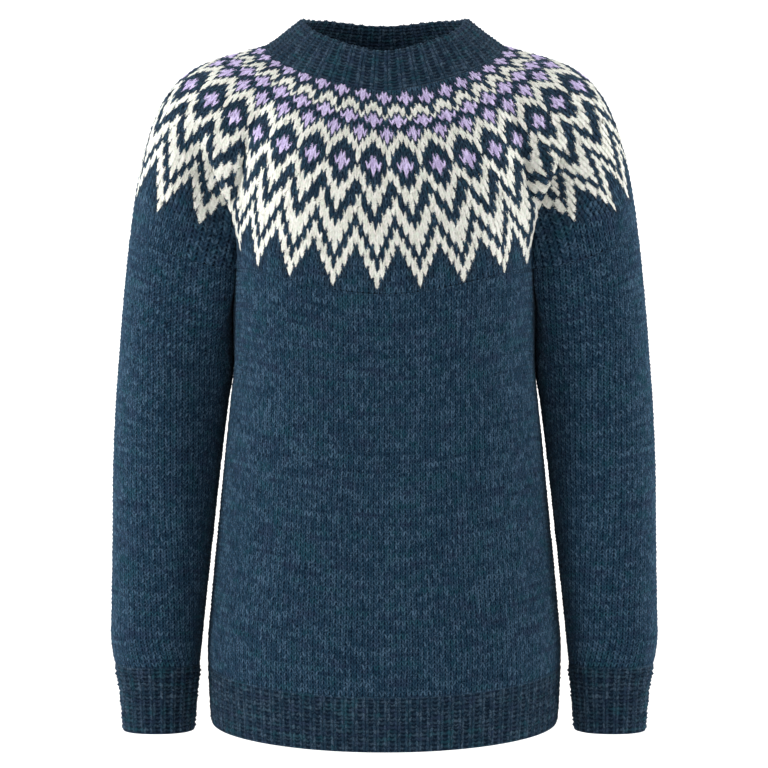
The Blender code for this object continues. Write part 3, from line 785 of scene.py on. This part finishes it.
def knit(
    name, cloth, shares, stitch, look, seed, firstRow=0.0, drops=None, tints=None,
    wallDepth=wall, inside=8, mirrored=False,
):
    # shares and drops hold the place of each point across and down. The inside of the wall
    # has a row of faces to as many rows of stitches as inside says.
    lines, columns = shares.shape
    fine = stitch["fine"]
    unit = len(stitch["turn"])
    column = np.arange(columns)
    line = np.arange(lines)[:, None]
    drops = line / (lines - 1.0) + 0.0 * column if drops is None else drops
    random = np.random.default_rng(seed)
    across = shares % 1.0 if cloth.closed else shares
    bakeAcross = shares - shares[:, :1]

    # Points of a stitch that has no width take the form of its edge
    edge = column - column % perStitch
    width = np.abs(shares[:, np.minimum(edge + perStitch, columns - 1)] - shares[:, edge])
    form = np.where(width < 1e-9, edge, column) % unit
    turn, middle, lean = [np.array(stitch[part])[form] for part in ("turn", "middle", "lean")]
    uneven = random.normal(1.0, unevenness["relief"], (lines // fine + 1, columns // perStitch + 1))
    uneven = np.clip(uneven, unevenness["least"], unevenness["most"])[line // fine, column // perStitch]
    rowsDown = line / fine + firstRow
    relief = turn + (middle - turn) * np.sin(math.pi * rowsDown) ** 2
    down = line / (lines - 1.0)
    atSeam = np.clip(unevenness["fade"] * np.minimum(line, lines - 1 - line) / fine, 0.0, 1.0)
    relief = unevenness["atEdge"] + (relief * uneven - unevenness["atEdge"]) * atSeam
    away = np.clip(np.minimum(line, lines - 1 - line) / fine, 0.0, 1.0)
    wander = unevenness["wander"] * waver(across, down, seed)
    place = line + fine * away * (stitch["slant"] * lean + wander)
    place = place + fine * away * random.normal(0.0, stitch["jitter"][1], place.shape)
    place = readGrid(drops[..., None], column + 0.0 * place, np.clip(place, 0.0, lines - 1.0))[..., 0]
    jitter = random.normal(0.0, stitch["jitter"][0], place.shape) * width * away
    jitter[:, 0] = jitter[:, -1] = 0.0
    points, normals = cloth.at(np.clip(across + jitter, 0.0, 1.0), np.clip(place, 0.0, 1.0))
    outer = points + normals * (relief * stitch["rise"] - stitch["sink"])[..., None]

    ended = drops >= 1.0
    numbers, kept = mergedNumbers(shares, cloth.closed, ended, 0)
    allPoints = [outer[kept]]
    patches = Patches()
    knitU = column / perStitch
    knitV = rowsDown
    plain = np.zeros((1, 1, 4))
    tints = plain if tints is None else pointTints(tints, fine)
    if wallDepth is None:  # a band that is one surface, out and back
        patches.add(numbers, knitU, knitV, bakeAcross, laidDown("band", drops), tints)
        ends = np.stack([numbers[-1], numbers[0]])
        patches.add(ends, knitU, 0.0, bakeAcross[:2], np.array([bakeLayout["bandEnd"]]).T, plain)
    else:
        patches.add(numbers, knitU, knitV, bakeAcross, laidDown("outside", np.clip(drops, 0.0, 1.0)), tints)
        few = np.unique(np.concatenate([np.arange(0, lines, inside * fine), [lines - 1]]))
        inner, innerNormals = cloth.at(across[few], np.clip(drops[few], 0.0, 1.0))
        innerNumbers, kept = mergedNumbers(shares[few], cloth.closed, ended[few], len(allPoints[0]))
        allPoints.append((inner - innerNormals * wallDepth)[kept])
        innerDown = laidDown("inside", np.clip(drops, 0.0, 1.0))
        patches.add(innerNumbers, knitU, knitV[few], bakeAcross[few], innerDown[few], plain, True)
        for row, turned in ((0, False), (-1, True)):
            ends = np.stack([innerNumbers[row], numbers[row]])
            strip = np.array([bakeLayout["ends"]]).T
            patches.add(ends, knitU, knitV[row], bakeAcross[row], strip, plain, turned)
        if not cloth.closed:
            for side, turned in ((0, False), (-1, True)):
                nearest = np.abs(line - few).argmin(axis=1)
                ends = np.stack([innerNumbers[nearest, side], numbers[:, side]], axis=1)
                sideDown = innerDown[:, side:][:, :1]
                strip = np.array(bakeLayout["sides"])
                patches.add(ends, knitU[side], knitV, strip, sideDown, plain, turned)
    mesh = patches.mesh(name, np.concatenate(allPoints), mirrored)
    mesh.materials.append(look)
    piece = bpy.data.objects.new(name, mesh)
    scene.collection.objects.link(piece)
    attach(piece, "root")
    print(name, "has", len(mesh.polygons), "faces")
    return piece


# Wool

class Signal:  # a node's output. Signals and numbers go together in sums.
    def __init__(self, shader, output):
        self.shader = shader
        self.output = output

    def __add__(self, other):
        return self.shader.maths("ADD", self, other)

    def __radd__(self, other):
        return self.shader.maths("ADD", other, self)

    def __sub__(self, other):
        return self.shader.maths("SUBTRACT", self, other)

    def __rsub__(self, other):
        return self.shader.maths("SUBTRACT", other, self)

    def __mul__(self, other):
        return self.shader.maths("MULTIPLY", self, other)

    def __rmul__(self, other):
        return self.shader.maths("MULTIPLY", other, self)


class Shader:
    def __init__(self, name, constants):
        self.material = bpy.data.materials.new(name)
        self.material.use_nodes = True
        self.tree = self.material.node_tree
        self.surface = self.tree.nodes["Principled BSDF"]
        for socket, value in constants.items():
            self.surface.inputs[socket].default_value = value

    def feed(self, socket, value):
        if isinstance(value, Signal):
            self.tree.links.new(value.output, socket)
        else:
            socket.default_value = value

    def node(self, kind, settings, values, output=0):
        node = self.tree.nodes.new(kind)
        for setting, value in settings.items():
            setattr(node, setting, value)
        for socket, value in values.items():
            self.feed(node.inputs[socket], value)
        return Signal(self, node.outputs[output])

    def maths(self, operation, *values):
        return self.node("ShaderNodeMath", dict(operation=operation), dict(enumerate(values)))

    def mix(self, share, first, second):
        settings = dict(data_type="RGBA")
        return self.node("ShaderNodeMix", settings, {0: share, 6: first, 7: second}, 2)

    def away(self, value, middle):  # how far a value lies from the middle
        return self.maths("ABSOLUTE", value - middle)

    def ramp(self, value, low, high):  # smooth, from 0 at low to 1 at high
        settings = dict(interpolation_type="SMOOTHSTEP")
        return self.node("ShaderNodeMapRange", settings, {0: value, 1: low, 2: high, 3: 0.0, 4: 1.0})

    def point(self, x, y):
        return self.node("ShaderNodeCombineXYZ", {}, {0: x, 1: y})

    def whiteNoise(self, x, y):
        settings = dict(noise_dimensions="2D")
        return self.node("ShaderNodeTexWhiteNoise", settings, {"Vector": self.point(x, y)})

    def split(self, vector):
        return [self.node("ShaderNodeSeparateXYZ", {}, {0: vector}, k) for k in range(3)]

    def noise(self, vector, scale, detail=2.0):
        return self.node("ShaderNodeTexNoise", {}, {"Vector": vector, "Scale": scale, "Detail": detail})

    def show(self, socket, signal):
        self.feed(self.surface.inputs[socket], signal)


def colour(red, green, blue):
    return (red, green, blue, 1.0)


wool = dict(
    base=colour(0.0135, 0.0405, 0.074),
    light=colour(0.068, 0.128, 0.195),
    dark=colour(0.0010, 0.009, 0.022),
    shadow=colour(0.016, 0.026, 0.040),
    teal=colour(0.006, 0.055, 0.072),
    mauve=colour(0.028, 0.040, 0.082),
    # colour of the painted shade between the yarns
    gap=colour(0.0005, 0.004, 0.011),
    cream=colour(0.80, 0.80, 0.74),
    creamDark=colour(0.60, 0.60, 0.52),
    creamWarm=colour(0.86, 0.78, 0.74),
    creamCool=colour(0.70, 0.77, 0.66),
    lilac=colour(0.66, 0.57, 0.84),
    lilacDark=colour(0.42, 0.34, 0.58),
)
# The body's yarn, greyer and darker for the ribbed bands; the darkening is painted shade
shadedRibWool = dict(
    wool,
    base=colour(0.0115, 0.0300, 0.0530),
    light=colour(0.056, 0.092, 0.132),
    dark=colour(0.0012, 0.008, 0.019),
)


woolSurface = {
    "Roughness": 0.92,
    "Specular IOR Level": 0.06,
    "Sheen Weight": 0.06,
    "Sheen Roughness": 0.5,
    "Sheen Tint": colour(0.55, 0.70, 0.85),
}

# Scales of the noises. Each pair is where a blend of colours starts and where it is full.
woolGrain = dict(
    fibre=850.0,
    hue=420.0,
    drift=75.0,
    fray=1050.0,
    frayReach=2.2,
    streak=(0.11, 31.0, 0.83),  # along a row, where it starts, and from row to row
    lighter=(0.48, 0.80),
    darker=(0.54, 0.30),
    teal=(0.51, 0.64),
    mauve=(0.47, 0.36),
    yarnEdge=(0.25, 0.70),
    shadow=(0.35, 0.60),
    rough=(0.30, 0.62),
    creamWarm=(0.52, 0.70),
    creamCool=(0.48, 0.32),
)

# Painted shade between yarns: pairs as above, by the way from the middle of a stitch or from the start of a
# row
yarnGapShade = dict(
    hole=(0.50, 0.18),
    leastHole=0.22,
    under=(0.24, 0.0),
    plainMiddle=(0.24, 0.05),
    plainSide=(0.27, 0.44),
    plainShares=(0.65, 0.6),  # in the middle of a stitch, and under the next row
    purl=(0.27, 0.20),
    rung=(0.38, 0.12),
    ribLegs=(0.08, 0.02),
    ribShares=(0.35, 0.55, 0.45, 0.7),  # in a purl, more between its bars, under the next row, between legs
    creamShare=0.8,  # how much of it a bright yarn loses
    lilacShare=0.6,
    depth=0.94,
    relief=dict(fibre=0.6, gap=0.5, strength=0.6, distance=0.0008),
)


def knittedWool(name, colours, ribbed=False):
    shader = Shader(name, woolSurface)

    def blend(part, value):
        return shader.ramp(value, *woolGrain[part])

    stitches = shader.node("ShaderNodeUVMap", dict(uv_map="Stitches"), {})
    u, v, _ = shader.split(stitches)
    place = shader.node("ShaderNodeTexCoord", {}, {}, 3)
    leg = shader.maths("FLOOR", u * 2.0)
    row = shader.maths("FLOOR", v)
    tone = shader.whiteNoise(leg, row)
    tint = shader.whiteNoise(row, leg)
    fibre = shader.noise(place, woolGrain["fibre"])
    hue = shader.noise(place, woolGrain["hue"], 3.0)
    drift = shader.noise(place, woolGrain["drift"])
    along, start, apart = woolGrain["streak"]
    streak = shader.noise(shader.point(u * along + start, row * apart), 1.0)  # along the yarn of a row

    heather = shader.mix(
        blend("lighter", fibre * 0.58 + tone * 0.22 + streak * 0.34), colours["base"], colours["light"])
    darker = blend("darker", fibre * 0.60 + tint * 0.25 + streak * 0.25)
    heather = shader.mix(darker * 0.85, heather, colours["dark"])
    shade = drift * 0.5 + streak * 0.5
    heather = shader.mix(blend("teal", shade) * 0.5, heather, colours["teal"])
    heather = shader.mix(blend("mauve", shade) * 0.4, heather, colours["mauve"])

    yarn = shader.node("ShaderNodeVertexColor", dict(layer_name="yarn"), {})
    frayed = (shader.noise(place, woolGrain["fray"]) - 0.5) * woolGrain["frayReach"]  # stray hairs
    isCream, isLilac, isNear = shader.split(yarn)
    isCream, isLilac = [
        blend("yarnEdge", part + frayed * 4.0 * part * (1.0 - part)) for part in (isCream, isLilac)
    ]
    heather = shader.mix(isNear * blend("shadow", hue) * 0.75, heather, colours["shadow"])
    rough = blend("rough", fibre * 0.75 + tone * 0.25)
    cream = shader.mix(rough, colours["creamDark"], colours["cream"])
    cream = shader.mix(blend("creamWarm", hue) * 0.7, cream, colours["creamWarm"])
    cream = shader.mix(blend("creamCool", hue) * 0.7, cream, colours["creamCool"])
    lilac = shader.mix(rough, colours["lilacDark"], colours["lilac"])
    strand = shader.mix(isCream, heather, cream)
    strand = shader.mix(isLilac, strand, lilac)

    # Painted shade between the legs of a stitch, darkest where a row slips under the next
    fromTurn = shader.away(shader.maths("FRACT", v + 0.5), 0.5)
    least = yarnGapShade["leastHole"]
    hole = least + (1.0 - least) * shader.ramp(fromTurn, *yarnGapShade["hole"])
    under = shader.ramp(fromTurn, *yarnGapShade["under"])
    if ribbed:
        wale = shader.maths("FRACT", u * 0.5)
        purl = shader.ramp(shader.away(wale, 0.75), *yarnGapShade["purl"])
        rung = shader.ramp(fromTurn, *yarnGapShade["rung"])
        legs = shader.ramp(shader.away(wale, 0.25), *yarnGapShade["ribLegs"])
        inPurl, atRung, underNext, inLegs = yarnGapShade["ribShares"]
        gap = shader.maths("MAXIMUM", purl * (inPurl + atRung * rung), under * underNext)
        gap = shader.maths("MAXIMUM", gap, legs * inLegs)
    else:
        inMiddle, underNext = yarnGapShade["plainShares"]
        fromMiddle = shader.away(shader.maths("FRACT", u), 0.5)
        middle = shader.ramp(fromMiddle, *yarnGapShade["plainMiddle"]) * inMiddle
        between = shader.maths("MAXIMUM", middle, shader.ramp(fromMiddle, *yarnGapShade["plainSide"]))
        gap = shader.maths("MAXIMUM", between * hole, under * underNext)
    gap = gap * (1.0 - yarnGapShade["creamShare"] * isCream - yarnGapShade["lilacShare"] * isLilac)
    # the painted shade mixed into the yarn's colour
    strand = shader.mix(gap, strand, shader.mix(yarnGapShade["depth"], strand, colours["gap"]))
    shader.show("Base Color", strand)

    relief = yarnGapShade["relief"]
    height = fibre * relief["fibre"] - gap * relief["gap"]
    sockets = {"Strength": relief["strength"], "Distance": relief["distance"], "Height": height}
    shader.show("Normal", shader.node("ShaderNodeBump", {}, sockets))
    return shader.material


petrolWool = knittedWool("petrol_wool", wool)
petrolRib = knittedWool("petrol_rib", shadedRibWool, ribbed=True)
patternedWool = knittedWool("patterned_wool", wool)
print("wool ready")


# Front and back

def straightShares(stitches, rows, fine, wander=0.0, seed=1):
    columns = np.linspace(0.0, 1.0, stitches * perStitch + 1)
    down = evenly(rows * fine)
    fade = np.clip(np.minimum(columns, 1.0 - columns) * stitches / 2.0, 0.0, 1.0)
    return columns + wander / stitches * fade * waver(columns, down, seed)


for name, seed in (("front", 11), ("back", 12)):
    cloth = bodyCloth(name)
    fine, wander = plainStitch["fine"], bodySize["wander"]
    shares = straightShares(seam["body"] // 2, bodySize["rows"], fine, wander, seed)
    piece = knit(name + "_knit", cloth, shares, plainStitch, petrolWool, seed, firstRow=0.5)
    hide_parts(name)
    cloth.area()

# A rib is two stitches wide
ribSize = dict(hemRibs=48, hemRows=13, cuffRibs=24, cuffRows=16, neckRibs=48, neckRows=26)

for name, seed in (("front", 13), ("back", 14)):
    cloth = hemCloth(name)
    shares = straightShares(ribSize["hemRibs"] * 2, ribSize["hemRows"], ribStitch["fine"])
    piece = knit("hem_" + name + "_knit", cloth, shares, ribStitch, petrolRib, seed, firstRow=0.5)
    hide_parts("hem_" + name)
    cloth.area()


# Sleeves and cuffs

def taperedShares(cloth, stitches, rows, fine):  # columns run straight down and end at the inner seam
    down = evenly(rows * fine)[:, 0]
    girth = np.interp(down, np.linspace(0.0, 1.0, len(cloth.girth)), cloth.girth)
    count = stitches * girth / girth[0]
    half = (stitches // 2 + 2) * perStitch
    columns = np.arange(-half, half + 1) / perStitch
    return np.clip(columns / count[:, None], -0.5, 0.5) + 0.5


for side, mirrored in (("left", False), ("right", True)):
    cloth = sleeveCloth()
    shares = taperedShares(cloth, seam["sleeve"], sleeveSize["rows"], plainStitch["fine"])
    piece = knit(
        "sleeve_" + side + "_knit", cloth, shares, plainStitch, petrolWool, seed=21,
        firstRow=0.5, mirrored=mirrored)
    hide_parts("sleeve_" + side)
    cloth.area()
    cloth = cuffCloth()
    shares = straightShares(ribSize["cuffRibs"] * 2, ribSize["cuffRows"], cuffStitch["fine"])
    piece = knit(
        "cuff_" + side + "_knit", cloth, shares, cuffStitch, petrolRib, seed=23,
        firstRow=0.5, mirrored=mirrored)
    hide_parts("cuff_" + side)
    cloth.area()


# Neckband

cloth = bandCloth()
shares = straightShares(ribSize["neckRibs"] * 2, ribSize["neckRows"], ribStitch["fine"])
piece = knit("neckband_knit", cloth, shares, ribStitch, petrolRib, seed=31, wallDepth=None)
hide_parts("neckband")
cloth.area() / 2.0


# Yoke. The chart counts rows from where the zigzags start, and columns from the middle of a repeat.
chart = dict(
    firstRow=-11,
    rows=42,
    stitches=((-11, 4), (-1, 6), (10, 7), (14, 8)),  # from this row on, stitches in a repeat
    comesIn=np.array([0, 0, 6, 7, 0, 8, 6, 0]),  # stitches in a repeat when a column comes in
    # row, place of the middle column against the centre front, in repeats
    drift=np.array([
        (-8, -0.515), (-3, -0.453), (0, -0.42), (7, -0.352), (15, -0.262), (23, -0.18), (30, -0.177),
    ]),
    # row, arc length from the neck edge to it at the centre front
    rowArcs=np.array([
        (-11, 0.0), (-10, 0.001), (0, 0.0433), (8.42, 0.0865), (15.42, 0.1218), (23.42, 0.1586),
        (29.42, 0.188), (39, 0.235),
    ]),
    leastRow=0.0004,  # height of a row at the least
    plainRows=8,
    levels=(-8.5, 6.5, 29.4),  # rows
    # repeats from the centre front, then how far the knitting lies shifted round and down at the
    # first level, and shifted round and stretched at each of the others
    fit=np.array([
        (-16.00, 0.00, 0.0000, 0.00, 1.080, 0.00, 1.080),
        (-10.00, 0.45, 0.0000, 0.25, 1.080, -0.15, 1.100),
        (-7.30, 0.55, -0.0020, 0.50, 1.050, -0.25, 1.100),
        (-6.27, 0.50, -0.0030, 0.54, 0.976, -0.17, 1.068),
        (-5.27, 0.43, -0.0035, 0.38, 0.946, -0.26, 0.983),
        (-4.27, 0.36, -0.0033, 0.23, 0.978, 0.36, 0.989),
        (-3.27, 0.24, -0.0030, 0.23, 0.995, -0.01, 1.017),
        (-2.27, 0.16, -0.0020, 0.10, 1.004, -0.15, 1.015),
        (-1.27, 0.09, -0.0015, 0.02, 1.003, -0.07, 1.012),
        (-0.27, 0.03, 0.0000, 0.01, 1.000, 0.00, 1.000),
        (0.73, -0.08, 0.0030, 0.01, 1.022, 0.03, 1.002),
        (1.73, -0.17, 0.0070, -0.02, 1.065, 0.09, 1.025),
        (2.73, -0.31, 0.0070, -0.14, 1.088, 0.21, 1.039),
        (3.73, -0.54, 0.0040, -0.30, 1.085, 0.00, 1.052),
        (4.73, -0.82, 0.0020, -0.39, 1.077, 0.68, 0.974),
        (5.73, -0.95, 0.0010, -0.67, 1.016, 0.71, 1.078),
        (6.73, -1.00, 0.0000, -0.92, 0.994, 0.25, 1.074),
        (7.73, -0.95, 0.0000, -0.86, 1.050, 0.30, 1.100),
        (10.00, -0.60, 0.0000, -0.35, 1.080, 0.15, 1.100),
        (16.00, 0.00, 0.0000, 0.00, 1.080, 0.00, 1.080),
    ]),
    lowered=((-11.0, -10.0, -8.5, 4.0), (0.0, 0.9, 1.0, 0.0)),  # rows, and their share of the shift down
    # column: (colour, first row, row after the last)
    runs={
        0: (("cream", -7, -5), ("lilac", -4, -1), ("cream", 0, 2), ("lilac", 5, 8), ("cream", 11, 15),
            ("cream", 18, 23), ("cream", 26, 29)),
        1: (("lilac", -9, -8), ("cream", -6, -4), ("lilac", -3, -2), ("cream", 1, 3), ("lilac", 6, 7),
            ("cream", 10, 13), ("cream", 17, 21), ("cream", 24, 27)),
        2: (("lilac", 0, 1), ("cream", 2, 4), ("cream", 8, 11), ("cream", 15, 19), ("cream", 22, 25)),
        3: (("cream", 14, 17), ("cream", 20, 23)),
        4: (("lilac", -10, -7), ("cream", -4, -3), ("lilac", -1, 2), ("cream", 3, 6), ("cream", 7, 9),
            ("cream", 12, 15), ("cream", 18, 21)),
    },
)


def repeatAt(size, row):  # stitches in a repeat
    return [count for first, count in size["stitches"] if first <= row][-1]


def yokePlaces(cloth, size, fine):
    repeats = yokeSize["repeats"]
    lines = np.arange((size["rows"] + size["plainRows"]) * fine + 1)
    row = size["firstRow"] + lines / fine
    rowAbove = size["firstRow"] + np.maximum(lines - 1, 0) // fine
    counts = np.array([repeatAt(size, at) for at in rowAbove])[:, None]
    widths = np.where(counts >= size["comesIn"], 1.0 / counts, 0.0)
    drift = np.interp(row, size["drift"][:, 0], size["drift"][:, 1])[:, None]
    starts = drift - widths[:, :1] / 2.0 + np.cumsum(widths, axis=1) - widths
    points = starts[:, :, None] + widths[:, :, None] * np.arange(perStitch) / perStitch
    points = points.reshape(len(lines), 1, -1) + np.arange(repeats)[:, None]
    points = points.reshape(len(lines), -1)
    points = np.concatenate([points, points[:, :1] + repeats], axis=1)

    fit = size["fit"]
    place = (points + repeats / 2.0) % repeats - repeats / 2.0
    shifts, stretches = [
        [np.interp(place, fit[:, 0], fit[:, k]) for k in parts] for parts in ((1, 3, 5), (4, 4, 6))
    ]
    lower = np.interp(place, fit[:, 0], fit[:, 2]) * np.interp(row, *size["lowered"])[:, None]
    levels = size["levels"]
    shift, stretch = [
        sum(part * np.interp(row, levels, at)[:, None] for at, part in zip(np.eye(len(levels)), parts))
        for parts in (shifts, stretches)
    ]
    shares = (points + shift) / repeats
    arcs = np.interp(row, size["rowArcs"][:, 0], size["rowArcs"][:, 1])[:, None] * stretch + lower
    arcs = np.maximum(arcs, size["leastRow"] * lines[:, None] / fine)
    lengths = np.interp(shares % 1.0, np.linspace(0.0, 1.0, len(cloth.lengths)), cloth.lengths)
    drops = np.clip(arcs / lengths, 0.0, 1.0)
    drops[-1] = 1.0
    return shares, drops


def yokeTints(size):  # for each stitch: cream, lilac, and whether one of them is near
    columns = len(size["comesIn"])
    top = size["firstRow"]
    tints = np.zeros((size["rows"] + size["plainRows"], columns, 4))
    for column, runs in size["runs"].items():
        for yarn, first, last in runs:
            for place in (column, -column % columns):
                tints[first - top:last - top, place, ("cream", "lilac").index(yarn)] = 1.0
    for row, line in enumerate(tints):  # a column that isn't there yet blends its neighbours
        there = np.flatnonzero(size["comesIn"] <= repeatAt(size, row + top))
        for yarn in (0, 1):
            line[:, yarn] = np.interp(np.arange(columns), there, line[there, yarn], period=columns)
    bright = tints[..., :2].max(axis=2)
    nextTo = sum(np.roll(bright, aside, axis=1) for aside in (-1, 0, 1))
    tints[..., 2] = sum(np.roll(nextTo, down, axis=0) for down in (-1, 0, 1)) > 0.5
    return np.tile(tints, (1, yokeSize["repeats"], 1))


cloth = yokeCloth()
shares, drops = yokePlaces(cloth, chart, plainStitch["fine"])
piece = knit(
    "yoke_knit", cloth, shares, plainStitch, patternedWool, seed=41,
    drops=drops, tints=yokeTints(chart), inside=3)
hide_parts("yoke")
cloth.area()
